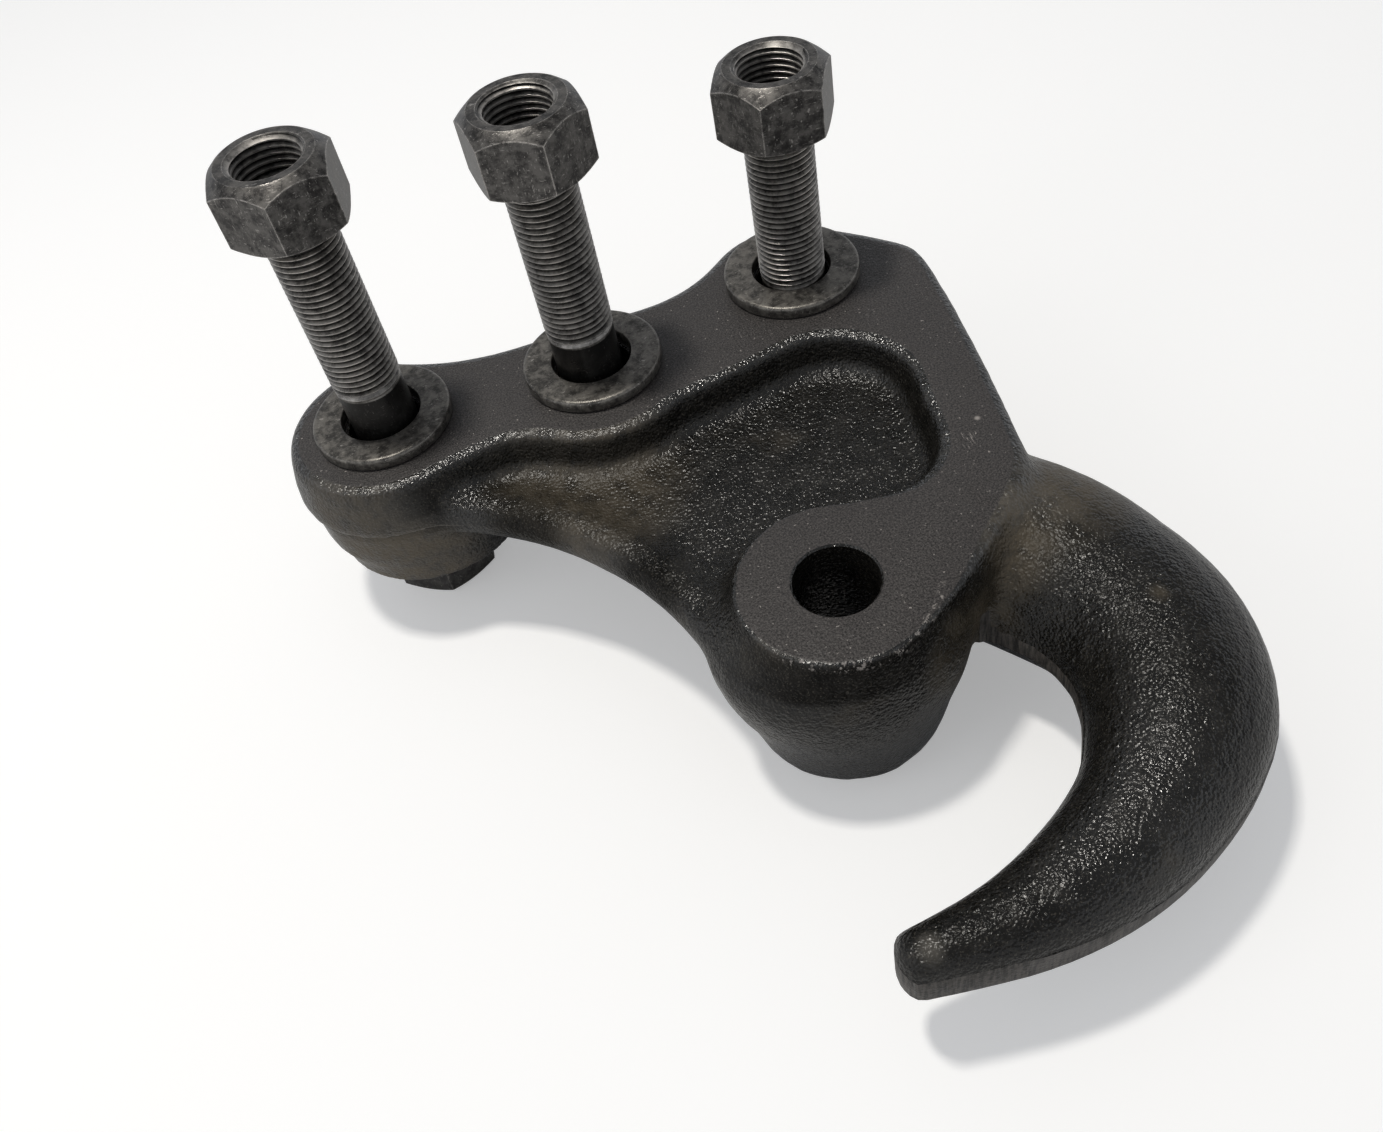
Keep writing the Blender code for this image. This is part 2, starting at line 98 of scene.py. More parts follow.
def weld(bm, distance=WELD):
    """Merge vertices that lie in one place."""
    bmesh.ops.remove_doubles(bm, verts=bm.verts, dist=distance)


def piece_from(bm, name):
    """An object at the origin from a bmesh, which is freed."""
    mesh = bpy.data.meshes.new(name)
    bm.to_mesh(mesh)
    bm.free()
    made = bpy.data.objects.new(name, mesh)
    bpy.context.scene.collection.objects.link(made)
    return made


def on_bore(vertex):
    """Whether a vertex lies on the wall of a bolt hole."""
    gaps = [(vertex.co.xy - hole.xy).length - HOLE_RADIUS * MM for hole in holes + [bare_hole]]
    return any(abs(gap) < BORE_SLACK for gap in gaps)


blank = bmesh.new()
blank.from_mesh(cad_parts["tow_hook_body"].data)
weld(blank)
walls = [f for f in blank.faces if abs(f.normal.z) < 0.2 and all(on_bore(v) for v in f.verts)]
bmesh.ops.delete(blank, geom=walls, context="FACES")
rims = [e for e in blank.edges if e.is_boundary]
bmesh.ops.holes_fill(blank, edges=rims, sides=0)
top = [v for v in blank.verts if v.co.z > face - TOUCH]
bmesh.ops.translate(blank, verts=top, vec=(0, 0, STOCK))
forging = piece_from(blank, "forging")
print("bore facets taken out:", len(walls), "rim edges closed:", len(rims))

# %% [markdown]
# The Remesh modifier draws one closed skin of even squares over the solid, and the Smooth modifier
# relaxes it. A bevel would follow each facet instead. Both modifiers are turned into plain mesh as soon
# as they have done their work, because the next step moves or cuts the result.

# %% Draw the skin over it
SKIN_CELL = 0.86 * MM
SKIN_PASSES = 6


def settle(piece):
    """Turn the piece's modifiers into its mesh."""
    graph = bpy.context.evaluated_depsgraph_get()
    result = bpy.data.meshes.new_from_object(piece.evaluated_get(graph))
    piece.modifiers.clear()
    old = piece.data
    piece.data = result
    bpy.data.meshes.remove(old)


def relax(piece, passes, group=""):
    """Smooth a piece by so many passes, as far as its vertex group lets it."""
    step = piece.modifiers.new("relax", "SMOOTH")
    step.factor = 0.5
    step.iterations = passes
    step.vertex_group = group
    settle(piece)


cover = forging.modifiers.new("skin", "REMESH")
cover.mode = "VOXEL"
cover.voxel_size = SKIN_CELL
settle(forging)
relax(forging, SKIN_PASSES)
print("skin facets:", len(forging.data.polygons))

# %% [markdown]
# The upper edge of the plate is rounder than the rest, all but the edge around the fourth boss. More
# passes of the same smoothing would round it, but they would melt the whole hook too. A vertex group
# holds them back to the upper edge.

# %% Round the upper edge
EDGE_PASSES = 36
EDGE_START = 6.0 * MM  # below the face
EDGE_FULL = 3.5 * MM
BOSS_NEAR = 23.0 * MM  # from the middle of the fourth hole
BOSS_FAR = 30.0 * MM


def coordinates(mesh):
    """A mesh's vertex places as an array."""
    flat = np.empty(len(mesh.vertices) * 3)
    mesh.vertices.foreach_get("co", flat)
    return flat.reshape(-1, 3)


def blend(values, low, high):
    """0 below a range, 1 above it and a straight rise between."""
    return np.clip((values - low) / (high - low), 0.0, 1.0)


def away_from(axis, places):
    """How far places lie from an upright axis."""
    return np.linalg.norm(places[:, :2] - np.array(axis.xy), axis=1)


def weigh(piece, name, weights):
    """Store weights as a vertex group, for a modifier to read."""
    group = piece.vertex_groups.new(name=name)
    for index in np.flatnonzero(weights > 0.0):
        group.add([int(index)], float(weights[index]), "REPLACE")


places = coordinates(forging.data)
upper = blend(places[:, 2], face - EDGE_START, face - EDGE_FULL)
upper *= blend(away_from(bare_hole, places), BOSS_NEAR, BOSS_FAR)
weigh(forging, "upper_edge", upper)
relax(forging, EDGE_PASSES, "upper_edge")
print("vertices on the upper edge:", int((upper > 0).sum()))

# %% [markdown]
# The tip carries one small nub, worn smooth. A bump would shade it but leave the outline flat, so the
# vertices around it are raised in a soft mound. Those below the parting level stay where they are.

# %% Raise the worn nub on the tip
NUB_HEIGHT = 0.9 * MM
NUB_REACH = 5.0 * MM
nub = datum + Vector((-43.2, -160.2, -18.5)) * MM


def move_to(mesh, places):
    """Put a mesh's vertices at the places of an array."""
    mesh.vertices.foreach_set("co", places.ravel())
    mesh.update()


places = coordinates(forging.data)
apart = np.linalg.norm(places - np.array(nub), axis=1)
places[:, 2] += NUB_HEIGHT * blend(-apart, -NUB_REACH, 0.0) ** 2 * (places[:, 2] > parting)
move_to(forging.data, places)
print("vertices around the nub:", int((apart < NUB_REACH).sum()))

# %% [markdown]
# The die also left its own mark on the first boss, where its two halves meet with a small step. The
# wall above the line is pushed out a little and the wall below it is drawn in, along the normals, so
# the step follows the round of the boss.

# %% Step the parting line on the first boss
STEP_DEPTH = 12.9
STEP_OUT = 0.15
STEP_IN = 1.35
STEP_ABOVE = 2.4  # how far the step fades above and below its line
STEP_BELOW = 2.6
STEP_NEAR = 30.0 * MM  # from the middle of the first hole
STEP_FAR = 38.0 * MM
WALL = 0.5  # the upward part of a wall's normal, at most
LEDGE = 0.75  # from here on the surface is left alone
step_level = face - STEP_DEPTH * MM
normals = np.empty(len(forging.data.vertices) * 3)
forging.data.vertices.foreach_get("normal", normals)
normals = normals.reshape(-1, 3)
places = coordinates(forging.data)
above = (places[:, 2] - step_level) / MM
push_out = STEP_OUT * blend(-above, -STEP_ABOVE, 0.0)
draw_in = -STEP_IN * blend(above, -STEP_BELOW, 0.0)
push = np.where(above > 0.0, push_out, draw_in)
push *= blend(-away_from(holes[0], places), -STEP_FAR, -STEP_NEAR)
push *= blend(-np.abs(normals[:, 2]), -LEDGE, -WALL)
places[:, :2] += normals[:, :2] * push[:, None] * MM
move_to(forging.data, places)
print("vertices by the parting step:", int((np.abs(push) > 0.05).sum()))

# %% [markdown]
# The skin's relief has two scales: long shallow waves, where the die has worn, and pits and scale marks
# a few millimetres across. The finer pebbles are left to the material's bump. The Displace modifier
# pushes each vertex along its normal by a procedural cloud texture. A vertex group keeps it off the top,
# which is milled, and what then stands past the CAD box is drawn back to it.

# %% Roughen the skin
WAVES = (16.0 * MM, 0.3 * MM)  # their length and height
PITS = (3.0 * MM, 0.07 * MM)
ROUGH_UNDER = 1.5 * MM  # below the face
SMOOTH_OVER = 0.3 * MM
MID_CLOUD = 0.62  # a cloud of this value leaves the skin where it is


def relief(piece, size, height):
    """Displace the skin by clouds of a size, both in metres."""
    clouds = bpy.data.textures.new("relief", "CLOUDS")
    clouds.noise_scale = size
    clouds.noise_depth = 2
    wave = piece.modifiers.new("relief", "DISPLACE")
    wave.vertex_group = "unmilled"
    wave.texture = clouds
    wave.texture_coords = "LOCAL"
    wave.strength = height
    wave.mid_level = MID_CLOUD
    settle(piece)


heights = coordinates(forging.data)[:, 2]
weigh(forging, "unmilled", 1.0 - blend(heights, face - ROUGH_UNDER, face - SMOOTH_OVER))
relief(forging, *WAVES)
relief(forging, *PITS)
body_low, body_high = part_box("tow_hook_body")
places = coordinates(forging.data)
inside = np.clip(places[:, :2], body_low.xy, body_high.xy)
print("vertices drawn back to the CAD box:", int((inside != places[:, :2]).any(axis=1).sum()))
places[:, :2] = inside
move_to(forging.data, places)

# %% [markdown]
# ## The trimmed land
# Where the two dies meet, spare steel is squeezed out as a thin flash, and a trimming die shears it off.
# On this hook that leaves an upright land all round, with a crisp edge, at its widest at the tip. The
# outline of the trim is the CAD solid's own section at the parting level, which a bisecting plane gives.

# %% Take the parting outline from the CAD solid
LOOP_WELD = 0.01 * MM


def parting_outline():
    """The longest loop of the CAD forging's section at the parting level, as plan points in order."""
    bm = bmesh.new()
    bm.from_mesh(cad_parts["tow_hook_body"].data)
    weld(bm)
    everything = bm.verts[:] + bm.edges[:] + bm.faces[:]
    bmesh.ops.bisect_plane(
        bm, geom=everything, plane_co=(0, 0, parting), plane_no=(0, 0, 1), clear_outer=True, clear_inner=True
    )
    weld(bm, LOOP_WELD)
    waiting = set(bm.verts)
    loops = []
    while waiting:
        here = min(waiting, key=lambda v: v.index)
        loop = []
        while here is not None:
            waiting.discard(here)
            loop.append(here.co.xy.copy())
            onward = [e.other_vert(here) for e in here.link_edges if e.other_vert(here) in waiting]
            here = onward[0] if onward else None
        loops.append(loop)
    bm.free()
    longest = max(loops, key=lambda loop: sum((a - b).length for a, b in zip(loop, loop[1:])))
    turn = sum(a.x * b.y - a.y * b.x for a, b in zip(longest, longest[1:] + longest[:1]))
    return longest if turn > 0 else longest[::-1]


outline = np.array(parting_outline())
print("parting outline:", len(outline), "points")

# %% [markdown]
# To stand for the flash, the skin is pushed out past that outline in a narrow band at the parting level.
# Each vertex needs its nearest point on the outline and the outward direction there, which numpy finds
# for all of them at once. Only the hook has been trimmed, so the plate is left alone.

# %% Squeeze out the flash
FLASH = 1.1 * MM
LAND_ARM = 1.4 * MM  # half the land's height along the arm
LAND_TIP = 3.0 * MM  # and at the tip
LAND_FADE = 0.9 * MM
FLASH_BAND = 8.0 * MM
FLASH_NEAR = 3.0 * MM
TIP_START = 5.0 * MM  # the land grows from here towards the tip
TIP_RUN = 35.0 * MM
TIP_FRONT = 140.0 * MM
ZONE_LEFT = -3.0  # the trimmed zone, in millimetres from the datum
ZONE_BACK = -99.0
ZONE_FRONT = -119.0


def beside(points):
    """The outline's outward direction next to each plan point, and the point's distance from it."""
    run = np.roll(outline, -1, axis=0) - outline
    length = np.linalg.norm(run, axis=1)
    outward = np.stack((run[:, 1], -run[:, 0]), axis=1) / length[:, None]
    reach = points[:, None, :] - outline[None, :, :]
    share = np.clip((reach * run).sum(2) / (length**2), 0.0, 1.0)
    away = reach - share[:, :, None] * run
    near = np.linalg.norm(away, axis=2).argmin(axis=1)
    offset = away[np.arange(len(points)), near]
    return outward[near], np.linalg.norm(offset, axis=1)


def hook_zone(place):
    """Whether plan points lie where the hook has been trimmed."""
    x = (place[:, 0] - datum.x) / MM
    y = (place[:, 1] - datum.y) / MM
    return ((x > ZONE_LEFT) & (y < ZONE_BACK)) | (y < ZONE_FRONT)


places = coordinates(forging.data)
rise = np.abs(places[:, 2] - parting)
chosen = np.flatnonzero(hook_zone(places) & (rise < FLASH_BAND))
outward, apart = beside(places[chosen, :2])
towards_tip = np.clip((datum.x + TIP_START - places[chosen, 0]) / TIP_RUN, 0.0, 1.0)
towards_tip *= places[chosen, 1] < datum.y - TIP_FRONT
land = LAND_ARM + (LAND_TIP - LAND_ARM) * towards_tip
squeeze = np.clip((land + LAND_FADE - rise[chosen]) / LAND_FADE, 0.0, 1.0) * (apart < FLASH_NEAR)
places[chosen, :2] += outward * (squeeze * FLASH)[:, None]
move_to(forging.data, places)
print("vertices in the flash:", int((squeeze > 0).sum()))

# %% [markdown]
# The trimming die is a block with the outline as its hole. A Boolean with it shears the flash, as the
# real trim does, and leaves an edge that no smoothing could. The manifold solver is used throughout,
# because every piece and tool here is closed, and it is quick.

# %% Trim the flash
TRIM_HALF = 9.0 * MM
KEEP_HALF = 12.0 * MM
TRIM_SIDE = 70.0
TRIM_END = -190.0


def pull_up(bm, height):
    """Extrude the flat face of a bmesh straight up into a closed bar."""
    grown = bmesh.ops.extrude_face_region(bm, geom=bm.faces[:])["geom"]
    raised = [v for v in grown if isinstance(v, bmesh.types.BMVert)]
    bmesh.ops.translate(bm, verts=raised, vec=(0, 0, height))
    bmesh.ops.recalc_face_normals(bm, faces=bm.faces)


def prism(name, loop, low, high):
    """An upright prism on a plan loop."""
    bm = bmesh.new()
    bm.faces.new([bm.verts.new((x, y, low)) for x, y in loop])
    pull_up(bm, high - low)
    return piece_from(bm, name)


def cut(piece, tool, operation="DIFFERENCE"):
    """Cut the piece with a tool, or join or keep what they share, and throw the tool away."""
    step = piece.modifiers.new("cut", "BOOLEAN")
    step.operation = operation
    step.solver = "MANIFOLD"
    step.object = tool
    settle(piece)
    bpy.data.objects.remove(tool)


zone = [
    (-TRIM_SIDE, ZONE_FRONT),
    (-TRIM_SIDE, TRIM_END),
    (TRIM_SIDE, TRIM_END),
    (TRIM_SIDE, ZONE_BACK),
    (ZONE_LEFT, ZONE_BACK),
    (ZONE_LEFT, ZONE_FRONT),
]
zone = [(datum.x + x * MM, datum.y + y * MM) for x, y in zone]
trim = prism("trim", zone, parting - TRIM_HALF, parting + TRIM_HALF)
cut(trim, prism("keep", outline.tolist(), parting - KEEP_HALF, parting + KEEP_HALF))
cut(forging, trim)
print("forging facets after the trim:", len(forging.data.polygons))

# %% [markdown]
# ## Machining
# Now the cutters come back. One slab mills the mounting face flat, which takes the stock off again. The
# bolt seats under the bosses are faced the same way, and the fourth one with a round cutter.

# %% Mill the face and face the seats
FAR = 0.2  # past every side of the part, in metres
MILL_TALL = 0.02
SEAT_TALL = 0.03
SEAT_DEPTH = 33.4
SEAT_FRONT = 38.0
PLAIN_SEAT_DEPTH = 42.7
PLAIN_SEAT_REACH = 25.0
TOOL_FOOT = -60.0


def slab(name, low, high):
    """A block between two corners, for a milling cut."""
    bm = bmesh.new()
    bmesh.ops.create_cube(bm, size=1.0)
    bmesh.ops.scale(bm, verts=bm.verts, vec=high - low)
    bmesh.ops.translate(bm, verts=bm.verts, vec=(low + high) / 2.0)
    return piece_from(bm, name)


def turned(name, profile, axis, steps=64):
    """Turn a profile of (radius, height) points in millimetres about an upright axis into a closed solid."""
    bm = bmesh.new()
    points = [bm.verts.new(Vector((radius, 0.0, height)) * MM) for radius, height in profile]
    edges = [bm.edges.new((points[k - 1], points[k])) for k in range(1, len(points))]
    if profile[0][0] > 0.0:
        edges.append(bm.edges.new((points[-1], points[0])))
    bmesh.ops.spin(
        bm, geom=points + edges, cent=(0, 0, 0), axis=(0, 0, 1), angle=math.tau, steps=steps, use_merge=True
    )
    weld(bm)
    bmesh.ops.recalc_face_normals(bm, faces=bm.faces)
    bmesh.ops.translate(bm, verts=bm.verts, vec=axis)
    return piece_from(bm, name)


seat = face - SEAT_DEPTH * MM
cut(forging, slab("mill", Vector((-FAR, -FAR, face)), Vector((FAR, FAR, face + MILL_TALL))))
seat_corner = Vector((-FAR, datum.y - SEAT_FRONT * MM, seat - SEAT_TALL))
cut(forging, slab("seats", seat_corner, Vector((FAR, FAR, seat))))
counterbore = [
    (0.0, TOOL_FOOT),
    (PLAIN_SEAT_REACH, TOOL_FOOT),
    (PLAIN_SEAT_REACH, -PLAIN_SEAT_DEPTH),
    (0.0, -PLAIN_SEAT_DEPTH),
]
cut(forging, turned("plain_seat", counterbore, bare_hole + Vector((0.0, 0.0, face))))
print("forging facets after milling:", len(forging.data.polygons))

# %% [markdown]
# A drill with a slight countersink makes each of the four holes. Its profile is turned with more steps
# than the other tools have, because the bare hole's round edge is seen from close by.

# %% Drill the holes
SINK = 0.45
DRILL_STEPS = 96
DRILL_FOOT = -70.0
DRILL_TOP = 8.0


def smooth_shading(piece, degrees):
    """Shade smoothly, with edges kept sharp past an angle."""
    piece.data.shade_smooth()
    piece.data.set_sharp_from_angle(angle=math.radians(degrees))


drill = [
    (0.0, DRILL_FOOT),
    (HOLE_RADIUS, DRILL_FOOT),
    (HOLE_RADIUS, -SINK),
    (HOLE_RADIUS + SINK, 0.0),
    (HOLE_RADIUS + SINK, DRILL_TOP),
    (0.0, DRILL_TOP),
]
for hole in holes + [bare_hole]:
    cut(forging, turned("drill", drill, hole + Vector((0.0, 0.0, face)), DRILL_STEPS))
smooth_shading(forging, 38.0)
print("forging facets:", len(forging.data.polygons))

# %% [markdown]
# The sheared land is paler and hatched by the trimming die, so its faces are marked with an attribute
# for the material to read. They are the upright faces whose corners all lie on the outline.

# %% Mark the trimmed land
places = coordinates(forging.data)
on_land = np.zeros(len(places), dtype=bool)
chosen = np.flatnonzero(hook_zone(places) & (np.abs(places[:, 2] - parting) < TRIM_HALF))
on_land[chosen] = beside(places[chosen, :2])[1] < TOUCH
land_faces = [
    float(abs(f.normal.z) < 0.1 and all(on_land[v] for v in f.vertices)) for f in forging.data.polygons
]
forging.data.attributes.new("land", "FLOAT", "FACE").data.foreach_set("value", land_faces)
print("faces on the land:", int(sum(land_faces)))

# %% [markdown]
# ## The bolts
# The thread is a real helix, because a stack of rings would look wrong where it ends. Only one pitch of
# its profile is drawn: root, flank, crest, flank. A spin that also climbs by one pitch in each turn
# makes each turn's top meet the next turn's bottom, so one merge closes the whole thread.

# %% Sweep a thread
PITCH = 1.5
TURN_STEPS = 48
THREAD_WELD = 0.002 * MM
ROOT_END = 0.36  # heights within one pitch
CREST_START = 0.84
CREST_END = 1.02


def thread(axis, bottom, top, root, crest):
    """A threaded rod with open ends, its heights and radii in millimetres."""
    bm = bmesh.new()
    form = ((root, 0.0), (root, ROOT_END), (crest, CREST_START), (crest, CREST_END), (root, PITCH))
    first = PITCH * math.floor(bottom / PITCH) - PITCH
    points = [bm.verts.new(Vector((radius, 0.0, first + rise)) * MM) for radius, rise in form]
    edges = [bm.edges.new((points[k - 1], points[k])) for k in range(1, len(points))]
    turns = int((top - first) / PITCH) + 2
    bmesh.ops.spin(
        bm,
        geom=points + edges,
        cent=(0, 0, 0),
        axis=(0, 0, 1),
        dvec=(0, 0, PITCH * MM / TURN_STEPS),
        angle=math.tau * turns,
        steps=turns * TURN_STEPS,
    )
    weld(bm, THREAD_WELD)
    for height, side in ((bottom, False), (top, True)):
        bmesh.ops.bisect_plane(
            bm,
            geom=bm.verts[:] + bm.edges[:] + bm.faces[:],
            plane_co=(0, 0, height * MM),
            plane_no=(0, 0, 1),
            clear_outer=side,
            clear_inner=not side,
        )
    weld(bm, THREAD_WELD)
    bmesh.ops.translate(bm, verts=bm.verts, vec=Vector((axis.x, axis.y, 0.0)))
    return bm


def close_ends(bm):
    """Fill the open loops and point all faces outwards."""
    bmesh.ops.holes_fill(bm, edges=[e for e in bm.edges if e.is_boundary], sides=0)
    bmesh.ops.recalc_face_normals(bm, faces=bm.faces)


print("thread pitch in mm:", PITCH, "steps in a turn:", TURN_STEPS)

# %% [markdown]
# Below the thread the bolt is plain. The thread's lower turns fade into the shank, its end is pointed,
# and the open loop at its bottom is extruded down, so the thread and the shank are one skin. The head
# is a hexagon that a turned profile trims, which gives the curved chamfer on its corners.

# %% Make the bolts
CREST = 7.95
ROOT = 7.1
SHANK = 7.72
POINT = 1.25
RUNOUT = 2.6
FLATS = 24.0
HEAD_TALL = 10.0
HEAD_TURN = -36.0
HEAD_REACH = 14.2
HEAD_FLAT = 11.4
HEAD_CHAMFER = 1.5
SUNK = 1.0  # how far the shank reaches into the head
THREAD_BOTTOMS = (12.6, 11.4, 0.6)  # above the mounting face


def hexagon(name, axis, bottom, top, turn):
    """A six-sided bar between two heights in millimetres, with a corner at the turn in degrees."""
    bm = bmesh.new()
    bmesh.ops.create_circle(bm, cap_ends=True, segments=6, radius=FLATS / math.sqrt(3.0) * MM)
    bmesh.ops.rotate(bm, verts=bm.verts, matrix=Matrix.Rotation(math.radians(turn - 30.0), 3, "Z"))
    bmesh.ops.translate(bm, verts=bm.verts, vec=(axis.x, axis.y, bottom * MM))
    pull_up(bm, (top - bottom) * MM)
    return piece_from(bm, name)


def bolt(number):
    """One bolt: threaded end, plain shank and hexagon head."""
    axis = axes[number - 1]
    low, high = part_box(f"bolt_{number}")
    end = high.z * 1000
    foot = low.z * 1000
    neck = foot + HEAD_TALL
    bottom = face * 1000 + THREAD_BOTTOMS[number - 1]
    bm = thread(axis, bottom, end, ROOT, CREST)
    for v in bm.verts:
        out = v.co.xy - axis.xy
        height = v.co.z / MM
        fade = min(1.0, max(0.0, (height - bottom) / RUNOUT))
        reach = SHANK + (out.length / MM - SHANK) * fade
        reach = min(reach, CREST - POINT + (end - height))
        v.co.xy = axis.xy + out.normalized() * reach * MM
    lowest = [e for e in bm.edges if e.is_boundary and e.verts[0].co.z < (bottom + 0.1) * MM]
    drawn = bmesh.ops.extrude_edge_only(bm, edges=lowest)["geom"]
    shank_foot = [v for v in drawn if isinstance(v, bmesh.types.BMVert)]
    bmesh.ops.translate(bm, verts=shank_foot, vec=(0, 0, (neck - SUNK - bottom) * MM))
    close_ends(bm)
    made = piece_from(bm, f"threaded_bolt_{number}")
    head = hexagon("head", axis, foot, neck, HEAD_TURN)
    crown = [
        (0.0, foot),
        (HEAD_FLAT, foot),
        (HEAD_REACH, foot + HEAD_CHAMFER),
        (HEAD_REACH, neck),
        (0.0, neck),
    ]
    cut(head, turned("crown", crown, axis), "INTERSECT")
    cut(made, head, "UNION")
    smooth_shading(made, 32.0)
    print(made.name, "facets:", len(made.data.polygons))
    return made


bolts = [bolt(k) for k in NUMBERS]

# %% [markdown]
# Handling rubs a thread bright on its crests, and the crests also carry a painted highlight. Shade is
# painted into the grooves and onto the shank and the head, which lie under the plate. The material can't
# tell a crest from a groove, so each vertex carries two numbers for it, worked out from its distance to
# the axis and its height over the thread's lowest turn.

# %% Mark the bolts' bright and dark places
RIM_BARED = 0.4
CREST_RUB_AND_LIT = 0.75
HEAD_SHADE = 0.4


def mark(piece, name, values):
    """Store one number for each vertex."""
    made = piece.data.attributes.new(name, "FLOAT", "POINT")
    made.data.foreach_set("value", np.asarray(values, dtype=float))


def mark_bolt(piece, number):
    """Store where a bolt is bared to bright steel, with a painted highlight on its crests, and where shade
    is painted on it.
    """
    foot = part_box(f"bolt_{number}")[0].z * 1000
    places = coordinates(piece.data)
    heights = places[:, 2] / MM - (face * 1000 + THREAD_BOTTOMS[number - 1])
    reach = away_from(axes[number - 1], places) / MM
    rim = RIM_BARED * blend(heights, 0.1, 0.5) * blend(-heights, -2.2, -1.2)
    # The crests are rubbed bright and also carry a painted highlight.
    crest = CREST_RUB_AND_LIT * blend(reach, 7.6, 7.9) * blend(heights, 2.0, 3.0)
    # Painted shade in the thread's grooves.
    groove = blend(-reach, -7.6, -7.2) * blend(heights, 1.0, 2.0)
    # Painted shade on the shank and, more weakly, on the head, which lie under the plate.
    shade_paint = np.where(places[:, 2] / MM < foot + HEAD_TALL + 0.05, HEAD_SHADE, 1.0)
    mark(piece, "bared_and_lit", np.maximum(rim, crest))
    mark(piece, "shaded", np.maximum(blend(-heights, -0.1, 0.0) * shade_paint, groove))
    print(piece.name, "bright vertices:", int((crest > 0.5).sum()))


for number, piece in zip(NUMBERS, bolts):
    mark_bolt(piece, number)

# %% [markdown]
# ## The nuts
# Each nut is tall, with a wide cone on its top corners and a thread that shows above the bolt's end.
# The bar and its cone are made as the bolt's head is. A tap of the same thread, a touch larger, then
# cuts the bore, so that the crests inside the nut line up with the bolt's.

# %% Make the nuts
TAP_ROOT = 7.22
TAP_CREST = 8.05
MOUTH_REACH = 8.35
MOUTH_FOOT = 7.1
CONE_STEPS = 96
NUT_TURNS = (18.7, 35.0, 58.5)


def nut(number):
    """One nut: coned hexagon with a tapped bore, marked as the bolts are."""
    axis = axes[number - 1]
    low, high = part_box(f"nut_{number}")
    bottom = low.z * 1000
    top = high.z * 1000
    made = hexagon(f"coned_nut_{number}", axis, bottom, top, NUT_TURNS[number - 1])
    cone = [
        (0.0, bottom),
        (11.4, bottom),
        (12.0, bottom + 0.2),
        (14.1, bottom + 1.4),
        (14.1, top - 3.2),
        (12.2, top - 1.5),
        (10.9, top - 0.35),
        (10.3, top),
        (0.0, top),
    ]
    cut(made, turned("cone", cone, axis, CONE_STEPS), "INTERSECT")
    tap = thread(axis, bottom - 1.0, top + 1.0, TAP_ROOT, TAP_CREST)
    close_ends(tap)
    cut(made, piece_from(tap, "tap"))
    mouth = [
        (0.0, top - 1.0),
        (MOUTH_FOOT, top - 1.0),
        (MOUTH_REACH, top),
        (MOUTH_REACH, top + 2.0),
        (0.0, top + 2.0),
    ]
    cut(made, turned("mouth", mouth, axis))
    reach = away_from(axis, coordinates(made.data)) / MM
    # The crests inside the bore are rubbed bright and carry a painted highlight, and shade is painted into
    # the grooves.
    mark(made, "bared_and_lit", 0.9 * blend(-reach, -7.6, -7.25))
    mark(made, "shaded", blend(reach, 7.6, 7.95) * blend(-reach, -8.3, -8.1))
    smooth_shading(made, 28.0)
    print(made.name, "facets:", len(made.data.polygons))
    return made


nuts = [nut(k) for k in NUMBERS]

# %% [markdown]
# ## The washers
# A stamped washer has one rolled edge and one sheared edge. The profile is drawn with its real corners
# and turned. Its flat stays true, and the bump in its finish keeps it from looking like glass.

# %% Make the washers
WASHER_REACH = 16.5
WASHER_BORE = 9.55
WASHER_STEPS = 120


def washer(number):
    """One washer, turned with a rolled outer corner."""
    low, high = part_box(f"washer_{number}")
    bottom = low.z * 1000
    top = high.z * 1000
    profile = [
        (WASHER_BORE, bottom),
        (WASHER_REACH - 0.25, bottom),
        (WASHER_REACH, bottom + 0.3),
        (WASHER_REACH, top - 0.8),
        (WASHER_REACH - 0.1, top - 0.4),
        (WASHER_REACH - 0.4, top - 0.1),
        (WASHER_REACH - 0.9, top),
        (WASHER_REACH - 3.0, top),
        (WASHER_BORE + 1.5, top),
        (WASHER_BORE + 0.3, top),
        (WASHER_BORE + 0.08, top - 0.1),
        (WASHER_BORE, top - 0.35),
    ]
    made = turned(f"stamped_washer_{number}", profile, holes[number - 1], WASHER_STEPS)
    smooth_shading(made, 50.0)
    print(made.name, "facets:", len(made.data.polygons))
    return made


washers = [washer(k) for k in NUMBERS]

# %% [markdown]
# ## Finishes
# Every finish below is a Principled shader whose colour, roughness and bump come from noise on Object
# coordinates, in metres, so the grain has its real size on each piece. The node trees are long, so a
# small class keeps each node to one short call.

# %% Node helpers


